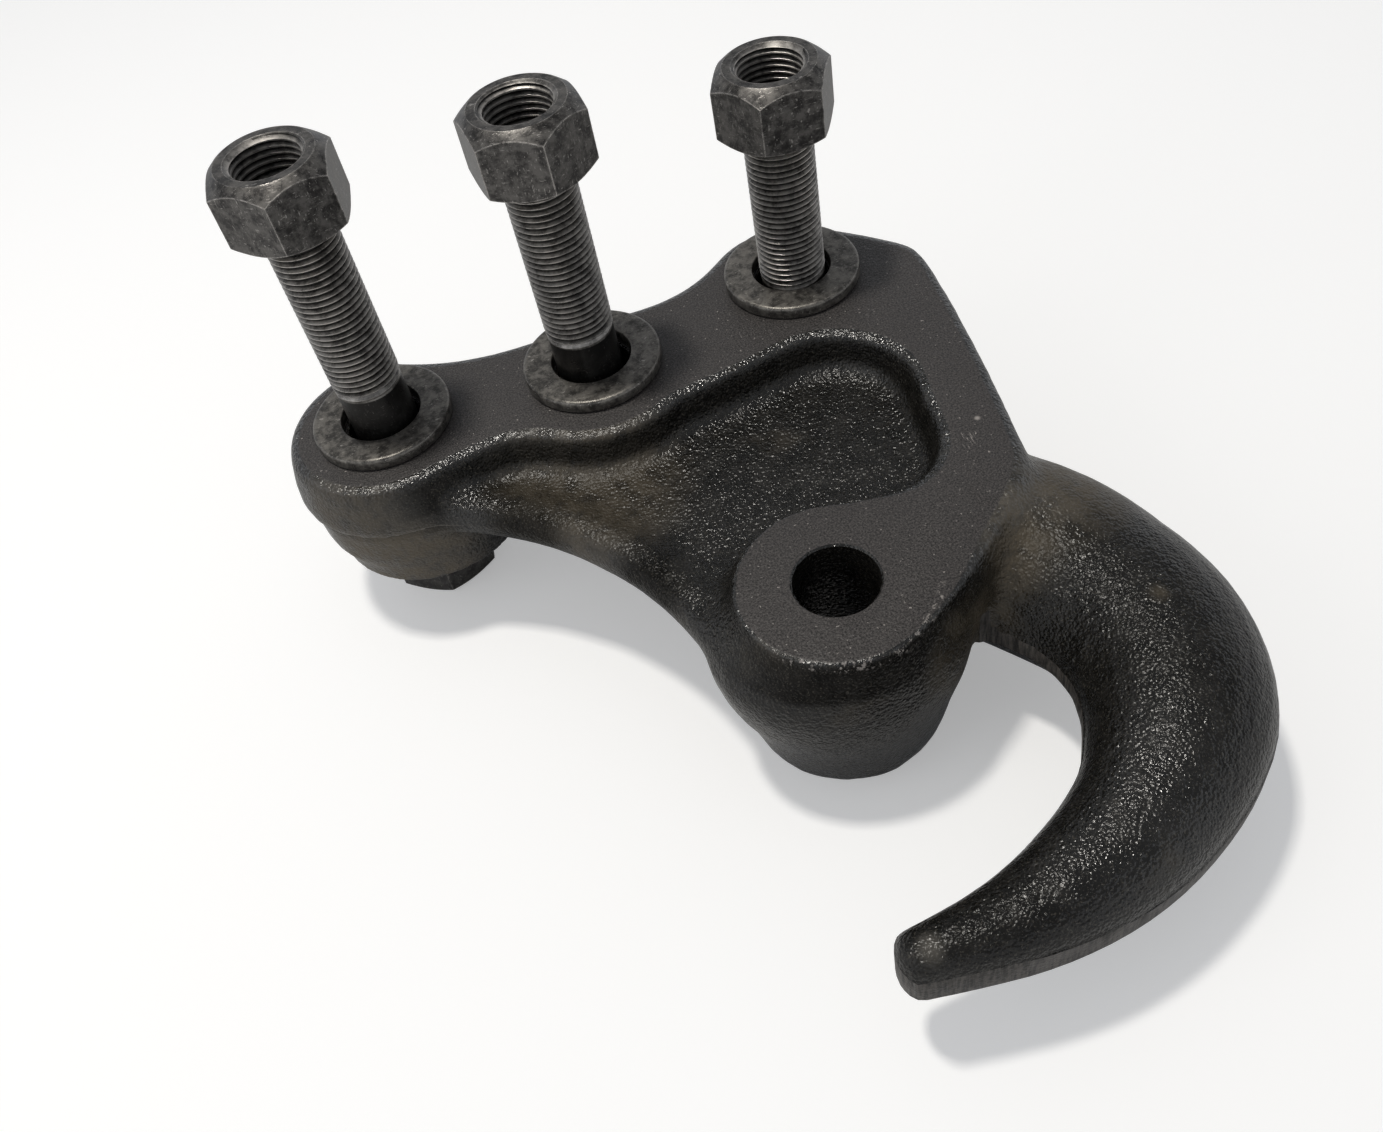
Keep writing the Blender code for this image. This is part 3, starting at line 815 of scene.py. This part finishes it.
class Finish:
    """A material under construction, with short calls for the nodes that it needs."""

    def __init__(self, name):
        self.material = bpy.data.materials.new(name)
        self.material.use_nodes = True
        self.tree = self.material.node_tree
        self.shader = self.tree.nodes["Principled BSDF"]
        self.place = self.tree.nodes.new("ShaderNodeTexCoord").outputs["Object"]

    def set(self, socket, value):
        """Store a number or colour on a socket, or wire another node into it."""
        if isinstance(value, bpy.types.NodeSocket):
            self.tree.links.new(value, socket)
        else:
            socket.default_value = value

    def noise(self, size, detail=2.0, rough=0.5, stretch=(1.0, 1.0, 1.0), turn=0.0):
        """Noise whose features are about the given size in metres."""
        mapping = self.tree.nodes.new("ShaderNodeMapping")
        mapping.inputs["Scale"].default_value = stretch
        mapping.inputs["Rotation"].default_value = (0.0, 0.0, math.radians(turn))
        self.set(mapping.inputs["Vector"], self.place)
        made = self.tree.nodes.new("ShaderNodeTexNoise")
        self.set(made.inputs["Vector"], mapping.outputs[0])
        made.inputs["Scale"].default_value = 1.0 / size
        made.inputs["Detail"].default_value = detail
        made.inputs["Roughness"].default_value = rough
        return made.outputs["Fac"]

    def cells(self, size, soft):
        """Distance to the nearest of scattered points that are the given size apart, softened."""
        made = self.tree.nodes.new("ShaderNodeTexVoronoi")
        made.feature = "SMOOTH_F1"
        self.set(made.inputs["Vector"], self.place)
        made.inputs["Scale"].default_value = 1.0 / size
        made.inputs["Smoothness"].default_value = soft
        return made.outputs["Distance"]

    def ramp(self, value, low, high, out_low=0.0, out_high=1.0):
        """Turn a range of a value into another, softly, and hold it beyond the ends."""
        made = self.tree.nodes.new("ShaderNodeMapRange")
        made.interpolation_type = "SMOOTHSTEP"
        self.set(made.inputs["Value"], value)
        made.inputs["From Min"].default_value = low
        made.inputs["From Max"].default_value = high
        made.inputs["To Min"].default_value = out_low
        made.inputs["To Max"].default_value = out_high
        return made.outputs["Result"]

    def calculate(self, operation, a, b):
        """One sum of two values."""
        made = self.tree.nodes.new("ShaderNodeMath")
        made.operation = operation
        self.set(made.inputs[0], a)
        self.set(made.inputs[1], b)
        return made.outputs[0]

    def plus(self, a, b):
        """Two values added."""
        return self.calculate("ADD", a, b)

    def minus(self, a, b):
        """One value less another."""
        return self.calculate("SUBTRACT", a, b)

    def times(self, a, b):
        """Two values multiplied."""
        return self.calculate("MULTIPLY", a, b)

    def most(self, a, b):
        """The greater of two values."""
        return self.calculate("MAXIMUM", a, b)

    def mix(self, factor, a, b):
        """Blend two colours."""
        made = self.tree.nodes.new("ShaderNodeMix")
        made.data_type = "RGBA"
        self.set(made.inputs[0], factor)
        self.set(made.inputs[6], a)
        self.set(made.inputs[7], b)
        return made.outputs[2]

    def along(self, letter):
        """One Object coordinate."""
        made = self.tree.nodes.new("ShaderNodeSeparateXYZ")
        self.set(made.inputs[0], self.place)
        return made.outputs[letter]

    def upward(self):
        """How far the surface faces up: 1 on a level top, 0 on a wall."""
        plain = self.tree.nodes.new("ShaderNodeNewGeometry")
        made = self.tree.nodes.new("ShaderNodeSeparateXYZ")
        self.set(made.inputs[0], plain.outputs["Normal"])
        return made.outputs["Z"]

    def attribute(self, name):
        """A number stored on the mesh."""
        made = self.tree.nodes.new("ShaderNodeAttribute")
        made.attribute_name = name
        return made.outputs["Fac"]

    def patch(self, x, y, z, reach, soft):
        """A round patch in millimetres from the datum: 1 inside its reach, 0 past its soft rim."""
        made = self.tree.nodes.new("ShaderNodeVectorMath")
        made.operation = "DISTANCE"
        self.set(made.inputs[0], self.place)
        made.inputs[1].default_value = datum + Vector((x, y, z)) * MM
        return self.ramp(made.outputs["Value"], reach * MM, (reach + soft) * MM, 1.0, 0.0)

    def band(self, value, rise, fall):
        """A band of a value: it rises over one range and falls over another."""
        return self.minus(self.ramp(value, *rise), self.ramp(value, *fall))

    def worn_edge(self, radius):
        """How much of an edge lies within the radius: 0 on a flat, rising at corners."""
        bevel = self.tree.nodes.new("ShaderNodeBevel")
        bevel.samples = 6
        bevel.inputs["Radius"].default_value = radius
        plain = self.tree.nodes.new("ShaderNodeNewGeometry")
        dot = self.tree.nodes.new("ShaderNodeVectorMath")
        dot.operation = "DOT_PRODUCT"
        self.set(dot.inputs[0], bevel.outputs[0])
        self.set(dot.inputs[1], plain.outputs["Normal"])
        return self.ramp(dot.outputs["Value"], 0.995, 0.93)

    def bump(self, height, strength, distance, below=None):
        """Bump from a height, on top of another bump if one is given."""
        made = self.tree.nodes.new("ShaderNodeBump")
        made.inputs["Distance"].default_value = distance
        self.set(made.inputs["Strength"], strength)
        self.set(made.inputs["Height"], height)
        if below is not None:
            self.set(made.inputs["Normal"], below)
        return made.outputs["Normal"]

    def paint(self, **sockets):
        """Set the shader's sockets by name, with underscores for spaces."""
        for name, value in sockets.items():
            self.set(self.shader.inputs[name.replace("_", " ")], value)
        return self.material


# %% [markdown]
# The forging is black from scale and oil, with brown and olive where the oil has dried. The milled face
# is smoother and greyer, and the land is sheared. One material holds all three, because they meet along
# edges that three materials would have to be cut to. The height of the surface finds the milled face,
# and the attribute finds the land.

# %% Find the forging's three surfaces
forged = Finish("forged_skin")
height = forged.along("Z")
upward = forged.upward()
milled = forged.ramp(height, face - 0.09 * MM, face - 0.015 * MM)
sheared = forged.attribute("land")
stains = forged.noise(5.0 * MM, 4.0, 0.65)
by_step = forged.patch(*(v / MM for v in holes[0].xy - datum.xy), -STEP_DEPTH, 26.0, 6.0)
under_step = forged.band(
    height, (step_level - 1.3 * MM, step_level - 0.8 * MM), (step_level - 0.4 * MM, step_level)
)
on_step = forged.band(
    height, (step_level - 0.2 * MM, step_level + 0.1 * MM), (step_level + 0.3 * MM, step_level + 0.8 * MM)
)
print("nodes that tell the surfaces apart:", len(forged.tree.nodes))

# %% [markdown]
# Shade is painted on the steep walls just below the face, in a few hollows and under the parting step,
# and there the skin is at its blackest. Height and slope find most of it. Round patches then correct it:
# some clear places that the photograph shows lit, and some paint more shade into a hollow.

# %% Paint shade into the hollows
# Each patch is x, y and z in millimetres from the datum, then its reach and its soft rim.
SHADE_CLEARED = (
    (-118.0, -18.0, -8.0, 10.0, 10.0),
    (12.0, -84.0, -9.0, 10.0, 8.0),
    (0.0, -98.0, -9.0, 8.0, 8.0),
    (-14.0, -105.0, -12.0, 7.0, 7.0),
)
SHADED_HOLLOWS = (
    (-98.7, -19.1, -12.0, 4.0, 7.0),
    (-84.9, -41.6, -12.0, 6.0, 9.0),
    (-65.2, -68.9, -12.0, 6.0, 9.0),
)
walls_high = forged.ramp(height, face - 11.0 * MM, face - 8.5 * MM)
# Painted shade: the steep walls just below the face are made darker, as if they lay in shadow.
painted_shade = forged.times(walls_high, forged.ramp(upward, 0.3, 0.75, 1.0, 0.0))
# Lit places are cleared of the painted shade, and some hollows get more of it.
for place in SHADE_CLEARED:
    painted_shade = forged.minus(painted_shade, forged.patch(*place))
for place in SHADED_HOLLOWS:
    painted_shade = forged.most(painted_shade, forged.patch(*place))
# The painted shadow under the parting step joins the painted shade.
painted_shade = forged.most(painted_shade, forged.times(by_step, under_step))
print("places cleared:", len(SHADE_CLEARED), "hollows darkened:", len(SHADED_HOLLOWS))

# %% [markdown]
# Dried oil and dust have settled on the neck, on the web and low on the first boss, and the same patches
# also paint light onto walls that catch it. Each is a soft round patch of its own strength, broken up by
# the stains, and broad noise adds fainter ones all over. Where shade is painted, most of it comes off again.

# %% Lay the dried oil, the dust and the painted light
# Each patch is x, y and z in millimetres from the datum, its reach, its soft rim and its strength.
DUST_AND_SHEEN = (
    (21.0, -88.0, -14.0, 6.0, 15.0, 1.0),
    (-6.7, -100.5, -16.0, 4.0, 10.0, 1.0),
    (-66.0, -36.0, -9.2, 12.0, 16.0, 0.6),
    (-112.5, -21.5, -26.0, 11.0, 12.0, 0.95),
    (-118.0, -18.0, -8.0, 6.0, 12.0, 0.6),
    (8.0, -90.0, -10.0, 8.0, 10.0, 0.8),
    (-12.0, -105.0, -14.0, 6.0, 9.0, 0.7),
    (25.8, -118.6, -4.0, 0.3, 2.8, 0.7),
)
# These patches are dust and dried oil, and the same patches paint light onto walls that catch it.
dust_and_sheen = forged.ramp(forged.noise(24.0 * MM, 3.0, 0.6), 0.58, 0.78, 0.0, 0.35)
for *place, strength in DUST_AND_SHEEN:
    dust_and_sheen = forged.most(dust_and_sheen, forged.times(forged.patch(*place), strength))
dust_and_sheen = forged.times(dust_and_sheen, forged.ramp(stains, 0.3, 0.6, 0.35, 1.0))
# Painted shade takes most of the dust and its painted light off again.
dust_and_sheen = forged.times(dust_and_sheen, forged.minus(1.0, forged.times(painted_shade, 0.85)))
print("patches of dust:", len(DUST_AND_SHEEN))

# %% [markdown]
# The milled face is dark grey with a fine grain, pale specks, one chip and a few scratches. Around the
# fourth boss the cutter has turned up a burr, which is rubbed bright in places, and along the boss's front
# its brightness is also a painted highlight. The burr is a thin ring between two round patches, broken up
# by noise, and it fades towards the back.

# %% Colour the milled face
FACE_DARK = (0.007, 0.0062, 0.006, 1.0)
FACE_LIGHT = (0.08, 0.072, 0.069, 1.0)
BARE_STEEL = (0.3, 0.275, 0.255, 1.0)
CHIP = (15.7, -64.9)
SCRATCHED = (10.4, -69.5)
BURR_INNER = 19.4
BURR_OUTER = 20.8

grain = forged.ramp(forged.noise(0.42 * MM, 3.0, 0.8), 0.36, 0.66)
specks = forged.ramp(forged.noise(0.7 * MM, 1.0, 0.5), 0.73, 0.79)
strokes = forged.ramp(forged.noise(0.45 * MM, 3.0, 0.7, (1.0, 0.12, 1.0), 20.0), 0.56, 0.64)
marks = forged.times(forged.patch(*SCRATCHED, 0.0, 1.0, 2.5), strokes)
marks = forged.most(marks, forged.patch(*CHIP, 0.0, 0.2, 0.7))
# The burr ring is bare steel, and along the boss's front it is also a painted highlight.
burr_and_highlight = forged.minus(
    forged.patch(*FOURTH_HOLE, 0.0, BURR_OUTER, 0.5), forged.patch(*FOURTH_HOLE, 0.0, BURR_INNER, 0.6)
)
in_front = forged.ramp(forged.along("Y"), datum.y - 106.0 * MM, datum.y - 98.0 * MM, 1.0, 0.0)
burr_and_highlight = forged.times(burr_and_highlight, in_front)
burr_and_highlight = forged.times(burr_and_highlight, forged.ramp(forged.noise(1.3 * MM, 3.0, 0.7), 0.54, 0.62))
marks = forged.most(marks, forged.times(burr_and_highlight, 0.9))
face_colour = forged.mix(forged.most(specks, marks), forged.mix(grain, FACE_DARK, FACE_LIGHT), BARE_STEEL)
print("burr ring in mm from the fourth hole:", BURR_INNER, "to", BURR_OUTER)

# %% [markdown]
# The skin's colour goes on in coats, from the bottom up: black oil and scale, dried oil and dust that also
# paint light onto some walls, the paler tops of the pebbles, a painted shadow under the parting step, the
# burr with its painted highlight, the rubbed nub and a painted highlight on the step's edge. The land gets
# a hatched grey from noise that is stretched upright.

# %% Colour the skin and the land
OIL_BLACK = (0.005, 0.0047, 0.004, 1.0)
SCALE_BLACK = (0.013, 0.012, 0.0105, 1.0)
OLIVE = (0.078, 0.062, 0.04, 1.0)
PEBBLE_TOP = (0.11, 0.1, 0.082, 1.0)
STEP_SHADOW = (0.003, 0.003, 0.0025, 1.0)
BURR_AND_HIGHLIGHT = (0.24, 0.22, 0.205, 1.0)
NUB_RUBBED = (0.13, 0.12, 0.105, 1.0)
STEP_HIGHLIGHT = (0.14, 0.125, 0.105, 1.0)
LAND_DARK = (0.014, 0.0125, 0.011, 1.0)
LAND_LIGHT = (0.07, 0.062, 0.055, 1.0)
NUB_PATCH = (-43.0, -160.0, -17.5, 1.2, 2.6)

skin = forged.mix(forged.ramp(stains, 0.35, 0.7), OIL_BLACK, SCALE_BLACK)
coats = (
    # dust and dried oil, which also paint light onto walls that catch it
    (dust_and_sheen, OLIVE),
    (forged.ramp(forged.noise(0.42 * MM, 2.0, 0.6), 0.56, 0.7, 0.0, 0.4), PEBBLE_TOP),
    # a painted shadow under the parting step
    (forged.times(by_step, under_step), STEP_SHADOW),
    # the burr, bare steel with a painted highlight
    (burr_and_highlight, BURR_AND_HIGHLIGHT),
    (forged.times(forged.patch(*NUB_PATCH), 0.8), NUB_RUBBED),
    # a painted highlight on the step's edge
    (forged.times(forged.times(by_step, on_step), 0.6), STEP_HIGHLIGHT),
)
for amount, tint in coats:
    skin = forged.mix(amount, skin, tint)
hatch = forged.ramp(forged.noise(0.6 * MM, 2.0, 0.6, (1.0, 1.0, 0.12)), 0.35, 0.65)
land_colour = forged.mix(hatch, LAND_DARK, LAND_LIGHT)
colour = forged.mix(sheared, forged.mix(milled, skin, face_colour), land_colour)
print("coats on the skin:", len(coats))

# %% [markdown]
# Each pebble of the skin throws a spark of light, so the pebbles are a bump made of noise and of cells,
# which gives them the round tops that noise alone lacks. It is weaker on the two cut surfaces. Dust, the
# milled face and the land are also rougher than the oily skin.

# %% Pebble the skin
PEBBLE_CELL = 0.68 * MM
PEBBLE_DEPTH = 0.36 * MM
FINE_DEPTH = 0.1 * MM

lumps = forged.times(forged.noise(1.1 * MM, 1.0, 0.5), 0.9)
pebbles = forged.minus(lumps, forged.times(forged.cells(PEBBLE_CELL, 0.2), 0.5))
uncut = forged.minus(1.0, forged.times(forged.most(milled, sheared), 0.7))
coarse = forged.bump(pebbles, uncut, PEBBLE_DEPTH)
normal = forged.bump(forged.noise(0.32 * MM, 1.0, 0.5), 0.6, FINE_DEPTH, coarse)
rough = forged.plus(forged.ramp(stains, 0.3, 0.7, 0.19, 0.3), forged.times(dust_and_sheen, 0.3))
rough = forged.plus(rough, forged.times(milled, 0.25))
rough = forged.plus(rough, forged.times(sheared, 0.15))
print("pebbles in mm:", round(PEBBLE_CELL / MM, 2), "across and", round(PEBBLE_DEPTH / MM, 2), "deep")

# %% [markdown]
# The film of oil makes the skin shine, and it isn't even. The plate has more of it than the hook, apart
# from one patch on the hook's arm. Where shade is painted, the specular level is lowered too, so the dark
# hollows mirror little, and the lip around the face is worn to a shine. The specular level carries this,
# because it leaves the colour and the roughness alone.

# %% Oil the forging and give it its finish
OIL_PATCH = (-2.0, -150.0, -8.0, 10.0, 20.0)
LIP_SHINE = 0.45

oil = forged.ramp(forged.along("Y"), datum.y - 120.0 * MM, datum.y - 60.0 * MM, 0.3, 0.5)
oil = forged.plus(oil, forged.times(forged.patch(*OIL_PATCH), 0.25))
# Painted shade lowers the specular level too, as if the hollows had little to mirror.
oil = forged.times(oil, forged.minus(1.0, forged.times(painted_shade, 0.8)))
lip = forged.times(forged.ramp(height, face - 4.0 * MM, face - 2.0 * MM), forged.ramp(upward, 0.6, 0.85))
lip = forged.times(lip, forged.minus(1.0, milled))
oil = forged.plus(oil, forged.times(lip, LIP_SHINE))


def wear(piece, material, slot, *nodes):
    """Give a piece its material, and let it stand for its CAD nodes; the slot is not used."""
    piece.data.materials.clear()
    piece.data.materials.append(material)
    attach(piece, "root")
    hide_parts(*nodes)


forged.paint(Base_Color=colour, Roughness=rough, Specular_IOR_Level=oil, Normal=normal)
wear(forging, forged.material, "forging", "tow_hook_body")
print("nodes in the forging's material:", len(forged.tree.nodes))

# %% [markdown]
# The fasteners are phosphated steel: mottled dark grey, with painted shade in the grooves and low on the
# bolts, and rubbed bright along crests and corners, where the crests also carry a painted highlight. The
# same recipe serves all of them with other tones. The Bevel node finds edges by comparing a rounded
# normal with the real one.

# %% Paint the fasteners


def steel_finish(name, dark, light, bright, roughness, rub):
    """Phosphated steel with rubbed edges: two tones, the bright of bare steel, and how far edges rub."""
    f = Finish(name)
    mottle = f.noise(2.6 * MM, 5.0, 0.75)
    fine = f.noise(0.35 * MM, 2.0, 0.6)
    scratches = f.noise(0.9 * MM, 3.0, 0.7, (1.0, 5.0, 0.6), 35.0)
    dings = f.noise(1.1 * MM, 3.0, 0.7, (0.5, 1.0, 3.0), -20.0)
    rubbed = f.times(f.worn_edge(rub), f.ramp(f.noise(1.2 * MM, 3.0, 0.6), 0.3, 0.6))
    nicks = f.most(f.ramp(scratches, 0.61, 0.7, 0.0, 0.7), f.ramp(dings, 0.63, 0.71, 0.0, 0.7))
    # The bright marks are rubbed steel with a painted highlight on the crests, and the dark ones are painted
    # shade.
    bared_and_lit = f.times(f.attribute("bared_and_lit"), f.ramp(mottle, 0.35, 0.6, 0.3, 1.0))
    shaded = f.attribute("shaded")
    unshaded = f.minus(1.0, f.times(shaded, 0.9))
    # The colour of the painted shade.
    shade_paint = tuple(v * 0.2 for v in dark[:3]) + (1.0,)
    tone = f.mix(shaded, f.mix(f.ramp(mottle, 0.36, 0.64), dark, light), shade_paint)
    shown = f.most(f.times(f.most(rubbed, nicks), unshaded), bared_and_lit)
    rough = f.ramp(mottle, 0.3, 0.7, roughness - 0.07, roughness + 0.08)
    normal = f.bump(fine, 0.3, 0.08 * MM, f.bump(mottle, 0.25, 0.25 * MM))
    return f.paint(Base_Color=f.mix(shown, tone, bright), Roughness=rough, Metallic=0.75, Normal=normal)


bolt_steel = steel_finish(
    "bolt_steel",
    dark=(0.075, 0.071, 0.067, 1.0),
    light=(0.19, 0.181, 0.168, 1.0),
    bright=(0.6, 0.57, 0.53, 1.0),
    roughness=0.34,
    rub=0.25 * MM,
)
nut_steel = steel_finish(
    "nut_steel",
    dark=(0.035, 0.033, 0.032, 1.0),
    light=(0.135, 0.128, 0.12, 1.0),
    bright=(0.5, 0.475, 0.445, 1.0),
    roughness=0.4,
    rub=0.5 * MM,
)
washer_steel = steel_finish(
    "washer_steel",
    dark=(0.065, 0.061, 0.056, 1.0),
    light=(0.215, 0.202, 0.182, 1.0),
    bright=(0.52, 0.49, 0.45, 1.0),
    roughness=0.4,
    rub=0.4 * MM,
)
for k in NUMBERS:
    wear(bolts[k - 1], bolt_steel, "bolt", f"bolt_{k}")
    wear(nuts[k - 1], nut_steel, "nut", f"nut_{k}")
    wear(washers[k - 1], washer_steel, "washer", f"washer_{k}")
print("nodes in the bolts' material:", len(bolt_steel.node_tree.nodes))

# %% [markdown]
# ## Stage, light and camera
# The photograph has soft light from above and behind, which is what makes the rims sparkle. One small
# panel hangs overhead, because a large one would blur the sparks, and a large weak one stands on the
# left.

# %% Hang the lights
AIM = (0.0, 0.0, 0.03)
WARM = (1.0, 0.965, 0.9)
PLAIN = (1.0, 1.0, 1.0)


def panel(name, place, size, power, tint):
    """A square light at a place in metres, aimed at the part."""
    lamp = bpy.data.lights.new(name, "AREA")
    lamp.shape = "SQUARE"
    lamp.size = size
    lamp.energy = power
    lamp.color = tint
    made = bpy.data.objects.new(name, lamp)
    made.location = place
    made.rotation_euler = (Vector(AIM) - Vector(place)).to_track_quat("-Z", "Y").to_euler()
    bpy.context.scene.collection.objects.link(made)
    print(name, "in m:", place, "W:", power)


panel("over_panel", (-0.16, 0.12, 1.03), 0.088, 5.2, WARM)
panel("left_panel", (-0.9, -0.15, 0.6), 0.6, 1.2, PLAIN)

# %% [markdown]
# The photograph has a plain white ground. Paper alone would render grey under so little light, so the
# camera, and only the camera, sees it glow a little.

# %% Lay the floor
FLOOR_HALF = 3.0
GLOW = 0.32
PAPER = (0.8, 0.8, 0.8, 1.0)
WHITE = (1.0, 1.0, 1.0, 1.0)

sheet = bmesh.new()
bmesh.ops.create_grid(sheet, x_segments=1, y_segments=1, size=FLOOR_HALF)
floor = piece_from(sheet, "floor")
paper = Finish("paper")
seen = paper.tree.nodes.new("ShaderNodeLightPath")
glow = paper.times(seen.outputs["Is Camera Ray"], GLOW)
paper.paint(Base_Color=PAPER, Roughness=0.9, Emission_Color=WHITE, Emission_Strength=glow)
floor.data.materials.append(paper.material)
print("floor in m:", [round(v, 2) for v in floor.dimensions])

# %% [markdown]
# The world is a studio's: white walls near the horizon and a dim ceiling, so that the oily skin has
# something dark to mirror. The upward part of the view direction sets how bright it is.

# %% Light the studio
HORIZON = 0.15
OVERHEAD = 0.5
WALL_LIGHT = 0.88
CEILING_LIGHT = 0.27
DAYLIGHT = (0.96, 0.99, 1.04, 1.0)

world = bpy.data.worlds.new("studio")
world.use_nodes = True
nodes = world.node_tree.nodes
links = world.node_tree.links
way = nodes.new("ShaderNodeTexCoord")
split = nodes.new("ShaderNodeSeparateXYZ")
level = nodes.new("ShaderNodeMapRange")
level.interpolation_type = "SMOOTHSTEP"
level.inputs["From Min"].default_value = HORIZON
level.inputs["From Max"].default_value = OVERHEAD
level.inputs["To Min"].default_value = WALL_LIGHT
level.inputs["To Max"].default_value = CEILING_LIGHT
links.new(way.outputs["Generated"], split.inputs[0])
links.new(split.outputs["Z"], level.inputs["Value"])
nodes["Background"].inputs["Color"].default_value = DAYLIGHT
links.new(level.outputs["Result"], nodes["Background"].inputs["Strength"])
bpy.context.scene.world = world
bpy.context.scene.view_settings.view_transform = "Standard"
print("studio light from", WALL_LIGHT, "at the walls to", CEILING_LIGHT, "overhead")

# %% [markdown]
# The camera stands where the photograph was taken from. Its place, turn and lens were worked out by
# matching the bolts, the holes and the mounting face with the photograph.

# %% Place the camera
lens = bpy.data.cameras.new("camera")
lens.sensor_width = 36.0
lens.lens = 33.266
lens.clip_start = 0.01
camera = bpy.data.objects.new("camera", lens)
camera.location = datum + Vector((-81.36, -240.30, 197.93)) * MM
camera.rotation_euler = (0.6883, 0.1517, -0.3475)
bpy.context.scene.collection.objects.link(camera)
bpy.context.scene.camera = camera
print("camera in mm:", [round(v * 1000, 1) for v in camera.location])
